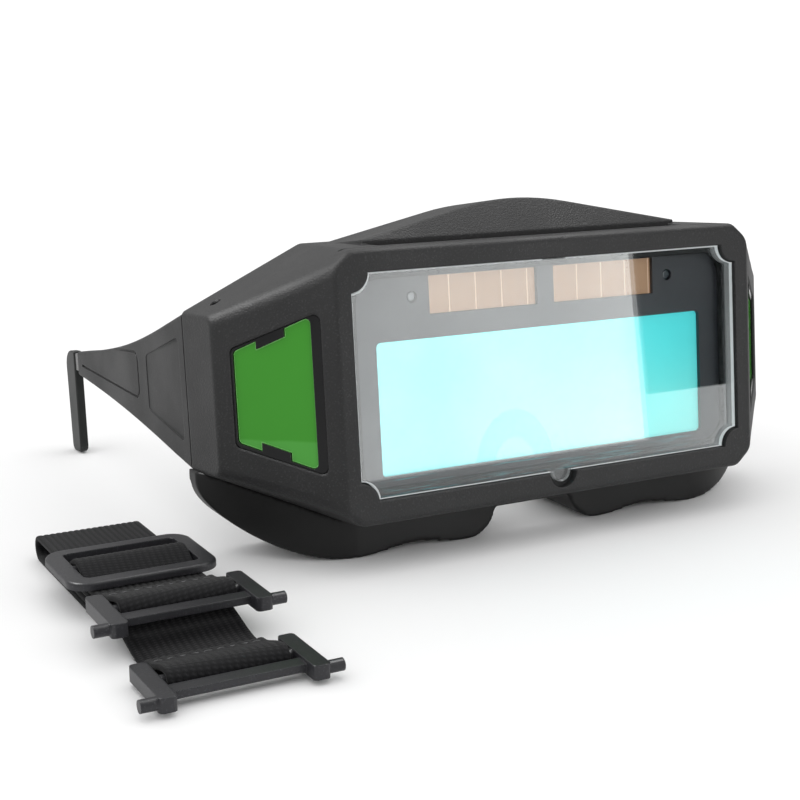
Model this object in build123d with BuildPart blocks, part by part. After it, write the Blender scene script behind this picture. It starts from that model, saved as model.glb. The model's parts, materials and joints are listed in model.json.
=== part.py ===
from build123d import *
from math import atan2, cos, degrees, radians, sin, tan
import os

os.makedirs("parts", exist_ok=True)

# Auto-darkening welding goggles with folding temples, and a clip-on headband lying beside them.
#
# The goggles are drawn square, in millimetres, with the origin at the middle of the cover lens's
# front face: +X to the wearer's left, +Y back towards the face, +Z up. At the end they are laid
# on their cheek lobes and ear tips, which leans the lens back a few degrees. The headband is
# drawn flat on the ground.

# ---------------------------------------------------------------- driving dimensions, mm
GAP = 0.05                      # clearance between pieces that are clamped together

LENS_W, LENS_H, LENS_T = 110.0, 52.0, 1.5
LENS_NOTCH = 4.6                # radius of the hollow corners
THUMB_R = 4.0                   # half-round thumb notch below the lens
LENS_FIT = 0.2                  # gap all round the cover lens

BEZEL_Y = -0.8                  # front of the bezel, just proud of the lens
FACET_Y = 21.2                  # where the slanted side facets meet the side walls
REAR_Y = 36.0                   # rear rim of the housing
WALL = 2.2
EDGE_R = 1.5                    # rounding of the housing's outer edges
CORNER_R = 3.5                  # rounding of the slanted edges that run back from the bezel's corners
# half widths and heights of the housing's three sections, front to rear:
# depth, half width, half width of top flat, top, side top, side bottom, half width of base, base
FRONT_SECTION = (BEZEL_Y, 59.0, 55.2, 31.4, 27.6, -28.0, 55.2, -31.8)
MIDDLE_SECTION = (FACET_Y, 80.8, 52.6, 32.2, 17.5, -20.0, 54.0, -33.0)
REAR_SECTION = (REAR_Y, 82.0, 50.5, 32.4, 18.0, -20.2, 53.0, -33.0)

INSIDE_Y = 11.0                 # front end of the housing's inside
GROOVE = (111.0, 0.9, 1.1, 3.9)             # groove behind the bezel: width, length, depth, middle's depth
BROW_RECESS = (88.0, 5.4, 2.4, 9.3)         # recess in front of the hump, likewise
FLOOR_CUT_W, FLOOR_CUT_Y, FLOOR_CUT_END_Y, FLOOR_CUT_Z = 132.0, 18.5, 44.5, -23.0

HUMP_Y = 12.0                   # foot of the brow hump
HUMP_CREST_Y = 17.5
HUMP_FOOT_Z, HUMP_TOP_Z = 32.7, 40.8
HUMP_HALF_W, HUMP_ARC_HALF_W, HUMP_ARC_Z = 45.5, 15.0, 39.2
HUMP_FALL = 3.0                 # degrees by which the hump falls away behind its crest
HUMP_INNER_Y = 20.0             # where its hollow starts

CART_W, CART_H, CART_T = 108.0, 51.0, 5.2   # auto-darkening cartridge
CART_Y = 4.35                   # its front face
CART_WALL = 1.0
VIEW_W, VIEW_TOP, VIEW_BOTTOM, VIEW_R = 94.0, 9.45, -22.0, 1.2
CELL_IN, CELL_OUT, CELL_TOP, CELL_BOTTOM = 2.4, 32.5, 24.0, 15.0
SENSOR_X, SENSOR_Z, SENSOR_R = 37.1, 19.4, 1.4
WELL_W, WELL_H, WELL_R = 106.4, 48.6, 6.0   # light well between cover lens and cartridge

HINGE_X, HINGE_Y, HINGE_Z = 76.2, 28.5, -1.15
HINGE_SPAN, PIN_SPAN = 34.4, 41.0           # between shoulders, and between pin tips
PIN_R, BORE_R = 1.30, 1.36
KNUCKLE_R = 2.6
TEMPLE_Y, TEMPLE_END_Y = 36.5, 133.0
TEMPLE_T = 4.2

BAR_H, BAR_T, BAR_Z = 5.2, 1.6, -1.7        # sliding bar inside the temple
BAR_Y, BAR_END_Y = 104.0, 143.0
BAR_X = -78.2                   # middle of the bar's thickness
CHANNEL_Y, CHANNEL_END_Y = BAR_Y - 6, TEMPLE_END_Y + 2
TIP_Y, TIP_END_Y = 139.5, 148.5
TIP_TOP, TIP_BOTTOM, TIP_T = 1.5, -29.3, 2.6

LOBE_Y, LOBE_END_Y = 13.5, 37.0             # cheek lobes, front and rear
LOBE_BOTTOM = -42.5
SEAL_T = 2.2

WEB_W, WEB_T = 25.0, 1.3        # elastic webbing
STRAP_X, STRAP_Y = -105.0, 48.0             # where the folded end of the headband lies
CLIP_BAR_R, CLIP_ARM_T, CLIP_ARM_W = 1.25, 3.0, 3.6
CLIP_PIN_R = 1.30

# ---------------------------------------------------------------- resting place
TIP_CORNER_R = 2.2              # the ear tips stand on their rounded rear corners
TIP_FOOT_Y = TIP_END_Y - 0.4 - TIP_CORNER_R
TILT = degrees(atan2(TIP_BOTTOM - LOBE_BOTTOM, TIP_FOOT_Y - LOBE_Y))
LIFT = LOBE_Y * sin(radians(TILT)) - LOBE_BOTTOM * cos(radians(TILT))
GOGGLES_REST = Location((0, 0, LIFT), (-TILT, 0, 0))
STRAP_REST = Location((STRAP_X, STRAP_Y, 0), (0, 0, -90))
FINISHED = []                   # pieces in their resting places, exported at the end


def front(y):
    """Sketch plane seen from the front, y behind the cover lens; it extrudes backwards by -amount."""
    return Plane.XZ.offset(-y)


def finish(piece, rest=GOGGLES_REST):
    """Lay a finished piece in its resting place, ready for export."""
    resting = piece.moved(rest)
    resting.label = piece.label
    FINISHED.append(resting)


def finish_pair(right, name):
    """Finish a right-hand piece and its mirror image for the left side."""
    with BuildPart() as left:
        mirror(right, about=Plane.YZ)
    right.label = f"{name}_right"
    left.part.label = f"{name}_left"
    finish(right)
    finish(left.part)


def polygon(*points):
    """Closed straight-sided outline, filled, in the current sketch."""
    Polygon(*points, align=None)


def section(half_w, crown_w, top, side_top, side_bottom, base_w, base, inset=0.0):
    """Eight-sided section of the housing, optionally inset for its inside."""
    w, t, b = half_w - 1.15 * inset, top - inset, base + inset
    s_top, s_bottom = side_top - 0.6 * inset, side_bottom + 0.6 * inset
    polygon(
        (crown_w, t), (w, s_top), (w, s_bottom), (base_w, b),
        (-base_w, b), (-w, s_bottom), (-w, s_top), (-crown_w, t),
    )


def section_at(y):
    """The housing's section values at any depth between the front and the middle section."""
    share = (y - BEZEL_Y) / (FACET_Y - BEZEL_Y)
    pairs = zip(FRONT_SECTION[1:], MIDDLE_SECTION[1:])
    return [a + share * (b - a) for a, b in pairs]


def hump(start, end, inset=0.0, foot=29.0, mode=Mode.ADD):
    """Bell-shaped brow hump from depth start to end, straight flanks and a round top, falling rearwards."""
    drop = (start - HUMP_CREST_Y) * tan(radians(HUMP_FALL)) + inset
    half_w, foot_z, arc_z = HUMP_HALF_W - 2 * inset, HUMP_FOOT_Z - drop, HUMP_ARC_Z - drop
    with BuildSketch(front(start)) as profile:
        with BuildLine() as outline:
            left = Polyline((-half_w, foot), (-half_w, foot_z), (-HUMP_ARC_HALF_W, arc_z))
            ThreePointArc(left @ 1, (0, HUMP_TOP_Z - drop), (HUMP_ARC_HALF_W, arc_z))
            Polyline((HUMP_ARC_HALF_W, arc_z), (half_w, foot_z), (half_w, foot), (-half_w, foot))
        make_face(outline.edges())
    fall = radians(HUMP_FALL)
    rearward = (0, cos(fall), -sin(fall))
    extrude(profile.sketch, amount=(end - start) / cos(fall), dir=rearward, mode=mode)


def notched_plate(width, height, notch):
    """Rectangle with a hollow quarter-round cut out of each corner."""
    Rectangle(width, height)
    with GridLocations(width, height, 2, 2):
        Circle(notch, mode=Mode.SUBTRACT)


def facet_plane():
    """Plane on the right-hand facet: x from its rear edge forwards, y up, z outwards."""
    run = FRONT_SECTION[1] - MIDDLE_SECTION[1]
    return Plane(
        origin=(-MIDDLE_SECTION[1], FACET_Y, 0),
        x_dir=(-run, BEZEL_Y - FACET_Y, 0),
        z_dir=(BEZEL_Y - FACET_Y, run, 0),
    )


def window_outline(grow=0.0, radius=1.6):
    """The tapered side opening on the facet plane, grown or shrunk all round."""
    with BuildLine() as outline:
        FilletPolyline(
            (WIN_REAR - grow, WIN_REAR_TOP + grow),
            (WIN_FRONT + grow, WIN_FRONT_TOP + grow),
            (WIN_FRONT + grow, WIN_FRONT_BOTTOM - grow),
            (WIN_REAR - grow, WIN_REAR_BOTTOM - grow),
            radius=radius, close=True,
        )
    make_face(outline.edges())


# side window opening: distance from the facet's rear edge, and heights at both ends
WIN_REAR, WIN_REAR_TOP, WIN_REAR_BOTTOM = 4.4, 10.1, -12.6
WIN_FRONT, WIN_FRONT_TOP, WIN_FRONT_BOTTOM = 26.9, 18.1, -19.5
WIN_FRAME_OUT, WIN_FRAME_DEPTH, WIN_PLATE_OUT, WIN_PLATE_T = -0.3, 4.0, -0.9, 1.8
WIN_TAB_REAR, WIN_TAB_FRONT, WIN_TAB_H = 10.7, 17.9, 1.9


# ---------------------------------------------------------------- housing
def runs_back(edge):
    """True for an edge that runs from the bezel all the way back to the middle section."""
    depths = sorted(((edge @ 0).Y, (edge @ 1).Y))
    return depths[0] < BEZEL_Y + 0.1 and depths[1] > FACET_Y - 0.1


with BuildPart() as housing:
    for depth, *outline in (FRONT_SECTION, MIDDLE_SECTION, REAR_SECTION):
        with BuildSketch(front(depth)):
            section(*outline)
    loft(ruled=True)
    fillet(housing.edges().filter_by(runs_back), radius=CORNER_R)
    fillet(housing.edges().filter_by(lambda edge: edge.center().Y < BEZEL_Y + 0.1), radius=EDGE_R)
    fillet(housing.edges().filter_by(lambda edge: FACET_Y - 3 < edge.center().Y < REAR_Y - 0.1), radius=EDGE_R)
    # brow hump with its slanted front
    hump(HUMP_Y, REAR_Y)
    with BuildSketch(Plane.YZ.offset(-HUMP_HALF_W - 1)):
        polygon(
            (HUMP_Y - 1, HUMP_FOOT_Z), (HUMP_Y, HUMP_FOOT_Z),
            (HUMP_CREST_Y, HUMP_TOP_Z + 0.4), (HUMP_Y - 1, HUMP_TOP_Z + 0.4),
        )
    extrude(amount=2 * HUMP_HALF_W + 2, mode=Mode.SUBTRACT)
    # inside of the shell, open at the rear
    with BuildSketch(front(INSIDE_Y)):
        section(*section_at(INSIDE_Y), inset=WALL)
    with BuildSketch(front(FACET_Y)):
        section(*MIDDLE_SECTION[1:], inset=WALL)
    with BuildSketch(front(REAR_Y + 0.5)):
        section(*REAR_SECTION[1:], inset=WALL)
    loft(ruled=True, mode=Mode.SUBTRACT)
    hump(HUMP_INNER_Y, REAR_Y + 1, inset=WALL, mode=Mode.SUBTRACT)
    # seat of the cover lens with its thumb notch, light well, and pocket for the cartridge
    with BuildSketch(front(BEZEL_Y - 0.1)):
        notched_plate(LENS_W + 2 * LENS_FIT, LENS_H + 2 * LENS_FIT, LENS_NOTCH - LENS_FIT)
        with Locations((0, -LENS_H / 2)):
            Circle(THUMB_R)
    extrude(amount=-(LENS_T + GAP - BEZEL_Y + 0.1), mode=Mode.SUBTRACT)
    with BuildSketch(front(0)):
        RectangleRounded(WELL_W, WELL_H, WELL_R)
    extrude(amount=-CART_Y - 1, mode=Mode.SUBTRACT)
    with BuildSketch(front(CART_Y - GAP)):
        RectangleRounded(CART_W + 0.5, CART_H + 0.5, 1.5)
    extrude(amount=-12, mode=Mode.SUBTRACT)
    # groove behind the bezel and recess in front of the hump
    with Locations((0, GROOVE[3], FRONT_SECTION[3])):
        Box(*GROOVE[:3], mode=Mode.SUBTRACT)
    with Locations((0, BROW_RECESS[3], FRONT_SECTION[3] + 0.4)):
        Box(*BROW_RECESS[:3], mode=Mode.SUBTRACT)
    # openings for the side windows
    with BuildSketch(facet_plane().offset(1)):
        window_outline()
    right_opening = extrude(amount=-8, mode=Mode.SUBTRACT)
    mirror(right_opening, about=Plane.YZ, mode=Mode.SUBTRACT)
    with BuildSketch(facet_plane().offset(-WALL - 0.5)):
        window_outline(grow=1.15)
    right_pocket = extrude(amount=-6, mode=Mode.SUBTRACT)
    mirror(right_pocket, about=Plane.YZ, mode=Mode.SUBTRACT)
    # the floor is cut away over the cheek lobes, and round the nose
    with BuildSketch(Plane.XY.offset(LOBE_BOTTOM)):
        with Locations((0, (FLOOR_CUT_Y + FLOOR_CUT_END_Y) / 2)):
            Rectangle(FLOOR_CUT_W, FLOOR_CUT_END_Y - FLOOR_CUT_Y)
    extrude(amount=FLOOR_CUT_Z - LOBE_BOTTOM, mode=Mode.SUBTRACT)
    # bores for the temples' hinge pins
    with Locations((-HINGE_X, HINGE_Y, HINGE_Z), (HINGE_X, HINGE_Y, HINGE_Z)):
        Cylinder(BORE_R, 60, mode=Mode.SUBTRACT)
housing.part.label = "housing"
finish(housing.part)


# ---------------------------------------------------------------- cover lens
with BuildPart() as cover_lens:
    with BuildSketch(front(0)):
        notched_plate(LENS_W, LENS_H, LENS_NOTCH)
        with Locations((0, -LENS_H / 2)):
            Circle(THUMB_R - 1.4)
    extrude(amount=-LENS_T)
    chamfer(cover_lens.faces().sort_by(Axis.Y)[0].edges(), length=0.3)
cover_lens.part.label = "cover_lens"
finish(cover_lens.part)


# ---------------------------------------------------------------- auto-darkening cartridge
CASE_FRONT_T, CASE_REAR_T = 1.0, 1.2
CART_END_Y = CART_Y + CART_T
VIEW_H = VIEW_TOP - VIEW_BOTTOM
VIEW_Z = (VIEW_TOP + VIEW_BOTTOM) / 2
CELL_X = (CELL_IN + CELL_OUT) / 2
CELL_Z = (CELL_TOP + CELL_BOTTOM) / 2
INNER_W, INNER_H = CART_W - 2 * CART_WALL, CART_H - 2 * CART_WALL

with BuildPart() as adf_front_case:
    with BuildSketch(front(CART_Y)):
        RectangleRounded(CART_W, CART_H, 1.2)
    extrude(amount=-(CART_T - CASE_REAR_T - GAP))
    with BuildSketch(front(CART_Y + CASE_FRONT_T)):
        Rectangle(INNER_W, INNER_H)
    extrude(amount=-CART_T, mode=Mode.SUBTRACT)
    with BuildSketch(front(CART_Y - 0.1)):
        with Locations((0, VIEW_Z)):
            RectangleRounded(VIEW_W, VIEW_H, VIEW_R)
        with Locations((-CELL_X, CELL_Z), (CELL_X, CELL_Z)):
            Rectangle(CELL_OUT - CELL_IN, CELL_TOP - CELL_BOTTOM)
        with Locations((-SENSOR_X, SENSOR_Z), (SENSOR_X, SENSOR_Z)):
            Circle(SENSOR_R)
    extrude(amount=-2, mode=Mode.SUBTRACT)
adf_front_case.part.label = "adf_front_case"
finish(adf_front_case.part)

with BuildPart() as adf_rear_case:
    with BuildSketch(front(CART_END_Y - CASE_REAR_T)):
        RectangleRounded(CART_W, CART_H, 1.2)
        with Locations((0, VIEW_Z)):
            RectangleRounded(VIEW_W, VIEW_H, VIEW_R, mode=Mode.SUBTRACT)
    extrude(amount=-CASE_REAR_T)
adf_rear_case.part.label = "adf_rear_case"
finish(adf_rear_case.part)


def pane(name, y, thickness, width, height):
    """Flat glass layer of the cartridge, centred on its viewing window."""
    with BuildPart() as layer:
        with BuildSketch(front(y)):
            with Locations((0, VIEW_Z)):
                Rectangle(width, height)
        extrude(amount=-thickness)
    layer.part.label = name
    finish(layer.part)


FILTER_Y, FILTER_T, LCD_T = CART_Y + CASE_FRONT_T + GAP, 1.1, 0.75
PANE_W, PANE_H = VIEW_W + 3.0, VIEW_H + 2.4
pane("uv_ir_filter", FILTER_Y, FILTER_T, PANE_W, PANE_H)
pane("lcd_front", FILTER_Y + FILTER_T + GAP, LCD_T, PANE_W, PANE_H)
pane("lcd_rear", FILTER_Y + FILTER_T + LCD_T + 2 * GAP, LCD_T, PANE_W, PANE_H)

CELL_T = 0.3
with BuildPart() as solar_cell:
    with BuildSketch(front(FILTER_Y)):
        with Locations((-CELL_X, CELL_Z)):
            Rectangle(CELL_OUT - CELL_IN + 1.2, CELL_TOP - CELL_BOTTOM + 0.5)
    extrude(amount=-CELL_T)
finish_pair(solar_cell.part, "solar_cell")

with BuildPart() as light_sensor:
    with BuildSketch(front(CART_Y + 0.35)):
        with Locations((-SENSOR_X, SENSOR_Z)):
            Circle(SENSOR_R - 0.15)
    extrude(amount=-(FILTER_Y + CELL_T - CART_Y - 0.35))
    fillet(light_sensor.faces().sort_by(Axis.Y)[0].edges(), radius=0.5)
finish_pair(light_sensor.part, "light_sensor")

BOARD_Y, BOARD_T, BOARD_H = FILTER_Y + CELL_T + GAP, 0.8, 12.9
BOARD_Z = INNER_H / 2 - 0.1 - BOARD_H / 2
with BuildPart() as circuit_board:
    with BuildSketch(front(BOARD_Y)):
        with Locations((0, BOARD_Z)):
            Rectangle(INNER_W - 1, BOARD_H)
    extrude(amount=-BOARD_T)
circuit_board.part.label = "circuit_board"
finish(circuit_board.part)

BATTERY_R, BATTERY_T = 6.25, 1.6
with BuildPart() as battery:
    with BuildSketch(front(BOARD_Y + BOARD_T + GAP)):
        with Locations((SENSOR_X + 6, BOARD_Z)):
            Circle(BATTERY_R)
    extrude(amount=-BATTERY_T)
    fillet(battery.edges(), radius=0.2)
battery.part.label = "battery"
finish(battery.part)

with BuildPart() as inner_cover_lens:
    with BuildSketch(front(CART_END_Y + GAP)):
        RectangleRounded(CART_W, CART_H, 1.2)
    extrude(amount=-1.0)
inner_cover_lens.part.label = "inner_cover_lens"
finish(inner_cover_lens.part)

# frame behind the inner lens that keeps the stack in its pocket, with two finger grips
RETAINER_Y, RETAINER_T = 11.05, 1.8
with BuildPart() as adf_retainer:
    with BuildSketch(front(RETAINER_Y)):
        RectangleRounded(CART_W + 5, CART_H + 4, 2)
        with Locations((0, VIEW_Z)):
            RectangleRounded(VIEW_W + 2, VIEW_H + 2, 3.5, mode=Mode.SUBTRACT)
        with Locations((0, CELL_Z)):
            SlotOverall(60, 5, mode=Mode.SUBTRACT)
    extrude(amount=-RETAINER_T)
    with BuildSketch(front(RETAINER_Y + RETAINER_T)):
        with Locations((-42, CELL_Z), (42, CELL_Z)):
            SlotOverall(12, 3)
    extrude(amount=-2.4)
adf_retainer.part.label = "adf_retainer"
finish(adf_retainer.part)


# ---------------------------------------------------------------- side windows
PLATE_REAR, PLATE_REAR_TOP, PLATE_REAR_BOTTOM = 5.1, 9.4, -11.7
PLATE_FRONT, PLATE_FRONT_TOP, PLATE_FRONT_BOTTOM = 24.3, 17.0, -18.1


def plate_outline(grow=0.0):
    """Outline of the tinted plate, grown or shrunk all round, without its notches."""
    with BuildLine() as outline:
        FilletPolyline(
            (PLATE_REAR - grow, PLATE_REAR_TOP + grow),
            (PLATE_FRONT + grow, PLATE_FRONT_TOP + grow),
            (PLATE_FRONT + grow, PLATE_FRONT_BOTTOM - grow),
            (PLATE_REAR - grow, PLATE_REAR_BOTTOM - grow),
            radius=1.2, close=True,
        )
    make_face(outline.edges())


def tab_outline(end, top_slope, height, margin=0.0):
    """A clip tab along the plate's slanted edge: rear end point, slope of the edge, height."""
    x0, z0 = end[0] - margin, end[1]
    x1 = WIN_TAB_FRONT + margin
    z1 = z0 + (x1 - x0) * tan(top_slope)
    polygon((x0, z0), (x1, z1), (x1, z1 + height), (x0, z0 + height))


RUN = PLATE_FRONT - PLATE_REAR
TOP_SLOPE = atan2(PLATE_FRONT_TOP - PLATE_REAR_TOP, RUN)
BOTTOM_SLOPE = atan2(PLATE_FRONT_BOTTOM - PLATE_REAR_BOTTOM, RUN)
TAB_TOP_Z = PLATE_REAR_TOP + (WIN_TAB_REAR - PLATE_REAR) * tan(TOP_SLOPE) - WIN_TAB_H
TAB_BOTTOM_Z = PLATE_REAR_BOTTOM + (WIN_TAB_REAR - PLATE_REAR) * tan(BOTTOM_SLOPE)

with BuildPart() as side_window:
    with BuildSketch(facet_plane().offset(WIN_PLATE_OUT)):
        plate_outline()
    extrude(amount=-WIN_PLATE_T)
    with BuildSketch(facet_plane().offset(WIN_PLATE_OUT + 0.1)):
        tab_outline((WIN_TAB_REAR, TAB_TOP_Z), TOP_SLOPE, 4.0)
        tab_outline((WIN_TAB_REAR, TAB_BOTTOM_Z + WIN_TAB_H), BOTTOM_SLOPE, -4.0)
    extrude(amount=-1.0, mode=Mode.SUBTRACT)
finish_pair(side_window.part, "side_window")

with BuildPart() as window_frame:
    with BuildSketch(facet_plane().offset(WIN_FRAME_OUT)):
        window_outline(grow=-0.15)
    extrude(amount=-WIN_FRAME_DEPTH)
    with BuildSketch(facet_plane().offset(-WALL - 0.6)):
        window_outline(grow=1.0)
    extrude(amount=-1.4)
    with BuildSketch(facet_plane()):
        plate_outline(grow=0.08)
    extrude(amount=WIN_PLATE_OUT - WIN_PLATE_T - GAP, mode=Mode.SUBTRACT)
    with BuildSketch(facet_plane()):
        plate_outline(grow=-1.1)
    extrude(amount=-6, mode=Mode.SUBTRACT)
    with BuildSketch(facet_plane().offset(WIN_FRAME_OUT)):
        tab_outline((WIN_TAB_REAR + 0.1, TAB_TOP_Z + 0.1), TOP_SLOPE, WIN_TAB_H + 0.2, margin=-0.1)
        tab_outline(
            (WIN_TAB_REAR + 0.1, TAB_BOTTOM_Z + WIN_TAB_H - 0.1), BOTTOM_SLOPE,
            -WIN_TAB_H - 0.2, margin=-0.1,
        )
    extrude(amount=-1.2)
finish_pair(window_frame.part, "window_frame")


# ---------------------------------------------------------------- cheek seal and brow pad
# lower edge of a lobe seen from the front, from its outer end to the nose: (half width, height)
LOBE_EDGE = (
    (82.4, -21.2), (82.0, -27.0), (76.0, -33.9), (64.0, -40.3), (50.0, LOBE_BOTTOM),
    (33.5, -41.0), (24.0, -42.2), (16.4, -41.9), (12.4, -38.6),
)
NOSE_CORNER = (11.0, -35.6)
LOBE_TOP_Z = -15.0              # well above the finished top, which is trimmed to the housing
# lower edge and upper corners of the hollow behind a lobe
HOLLOW_EDGE = (
    (77.5, -27.6), (73.0, -33.0), (62.0, -38.5), (50.0, -40.3),
    (33.5, -38.8), (24.0, -39.9), (17.6, -39.4), (14.6, -37.0),
)
HOLLOW_TOP = ((13.4, -33.0), (13.4, -28.0), (77.5, -20.0))
# plan of the lobes' front, and of the hollow behind it: end of the straight, mid sweep, outer end
LOBE_SWEEP = ((50.0, LOBE_Y), (68.0, 19.6), (83.0, 33.0))
HOLLOW_SWEEP = ((48.0, LOBE_Y + SEAL_T), (66.0, 21.8), (80.0, 34.0))
# the top of the seal lies just under the housing's base and its slanted lower sides
SEAL_TOP_OUTER, SEAL_TOP_INNER = (84.0, -19.45), (54.2, -33.0)
NOSE_GAP_W, NOSE_GAP_L = 22.0, 40.0


def mirrored(points):
    """The same points on the other side of the nose."""
    return [(-across, other) for across, other in points]


def seal_outline():
    """The lobes seen from the front, closed well above their finished top."""
    with BuildLine() as outline:
        right = Spline(*LOBE_EDGE)
        left = Spline(*mirrored(LOBE_EDGE))
        Polyline(right @ 1, NOSE_CORNER, *mirrored([NOSE_CORNER]), left @ 1)
        ends = [(LOBE_EDGE[0][0], LOBE_TOP_Z), (-LOBE_EDGE[0][0], LOBE_TOP_Z)]
        Polyline(right @ 0, *ends, left @ 0)
    make_face(outline.edges())


def swept_plan(sweep, end_y):
    """Plan outline: straight across the middle, swept back at both sides, closed at end_y."""
    with BuildLine() as outline:
        Line(*mirrored(sweep[:1]), sweep[0])
        right = ThreePointArc(*sweep)
        left = ThreePointArc(*mirrored(sweep))
        Polyline(right @ 1, (sweep[2][0], end_y), (-sweep[2][0], end_y), left @ 1)
    make_face(outline.edges())


REARWARD = Vector(0, cos(radians(TILT)), sin(radians(TILT)))   # parallel to the ground at rest
LOBE_RUN = (LOBE_END_Y - LOBE_Y + 2) / cos(radians(TILT))
UNDER_Z, PLAN_H = -50.0, 40.0   # the plans are cut from below the lobes up into the housing

with BuildPart() as cheek_seal:
    with BuildSketch(front(LOBE_Y)):
        seal_outline()
    extrude(amount=LOBE_RUN, dir=REARWARD)
    with BuildSketch(front(LOBE_Y - 1)):
        top = [SEAL_TOP_OUTER, SEAL_TOP_INNER]
        below = [(-SEAL_TOP_OUTER[0], UNDER_Z), (SEAL_TOP_OUTER[0], UNDER_Z)]
        polygon(*top, *reversed(mirrored(top)), *below)
    extrude(amount=-(LOBE_RUN + 2), mode=Mode.INTERSECT)
    with BuildSketch(Plane.XY.offset(UNDER_Z)):
        swept_plan(LOBE_SWEEP, LOBE_END_Y)
    extrude(amount=PLAN_H, mode=Mode.INTERSECT)
with BuildPart() as lobe_hollow:
    with BuildSketch(front(LOBE_Y)):
        for edge, top in ((HOLLOW_EDGE, HOLLOW_TOP), (mirrored(HOLLOW_EDGE), mirrored(HOLLOW_TOP))):
            with BuildLine():
                lower = Spline(*edge)
                Polyline(lower @ 1, *top, lower @ 0)
            make_face()
    extrude(amount=LOBE_RUN + 2, dir=REARWARD)
    with BuildSketch(Plane.XY.offset(UNDER_Z)):
        swept_plan(HOLLOW_SWEEP, LOBE_END_Y + 13)
    extrude(amount=PLAN_H, mode=Mode.INTERSECT)
with BuildPart() as nose_gap:
    with BuildSketch(Plane.XY.offset(UNDER_Z)):
        with Locations((0, LOBE_Y + SEAL_T + NOSE_GAP_L / 2)):
            Rectangle(NOSE_GAP_W, NOSE_GAP_L)
    extrude(amount=PLAN_H)
with cheek_seal:
    add(lobe_hollow.part, mode=Mode.SUBTRACT)
    add(nose_gap.part, mode=Mode.SUBTRACT)
cheek_seal.part.label = "cheek_seal"
finish(cheek_seal.part)

PAD_Y, PAD_END_Y, PAD_T, PAD_FOOT_Z = 29.0, 38.0, 3.0, 27.5
with BuildPart() as brow_pad:
    hump(PAD_Y, PAD_END_Y, inset=WALL + 0.1, foot=PAD_FOOT_Z)
    hump(PAD_Y - 1, PAD_END_Y + 1, inset=WALL + 0.1 + PAD_T, foot=PAD_FOOT_Z - 5, mode=Mode.SUBTRACT)
brow_pad.part.label = "brow_pad"
finish(brow_pad.part)


# ---------------------------------------------------------------- temples
PANEL_DEPTH = 0.5
PANEL = ((40.0, 12.0), (66.0, 5.8), (66.0, -8.4), (40.0, -13.6))   # shallow panel near the hinge
# upper and lower edges of the arm in side view, and the directions in which they leave its ends
ARM_TOP = ((TEMPLE_Y, 17.8), (82.0, 7.6), (TEMPLE_END_Y, 1.9))
ARM_BASE = ((TEMPLE_Y, -20.0), (82.0, -11.8), (TEMPLE_END_Y, -5.3))
ARM_TOP_WAYS, ARM_BASE_WAYS = ((1, -0.26), (1, -0.08)), ((1, 0.2), (1, 0.1))
ROOT_END_Y = 62.0               # where the thicker root has run out
KNUCKLE_CUT_W, KNUCKLE_CUT_H = 9.0, 12.0    # lightening cut: its width, and the height left beside it
SHOULDER_Y, SKIN_IN = TEMPLE_Y + 8, 2.0     # where the knuckle's web meets the arm
GROOVE_W, GROOVE_DEPTH = 0.7, 0.45
GROOVE_PATH = ((80.0, 1.8), (25.0, 6.1), (25.0, -6.0), (70.0, -5.1))
OUTER_X = -REAR_SECTION[1]      # outer skin of the right temple, in line with the housing
INNER_END_X = -80.2             # its outer skin at the far end
TAPER_Y = TEMPLE_Y + 12         # where it starts to run in towards the ear
TAPER = (INNER_END_X - OUTER_X, TEMPLE_END_Y + 1 - TAPER_Y)
outer_face = Plane(origin=(OUTER_X, TAPER_Y, 0), x_dir=(*TAPER, 0), z_dir=(-TAPER[1], TAPER[0], 0))

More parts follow.
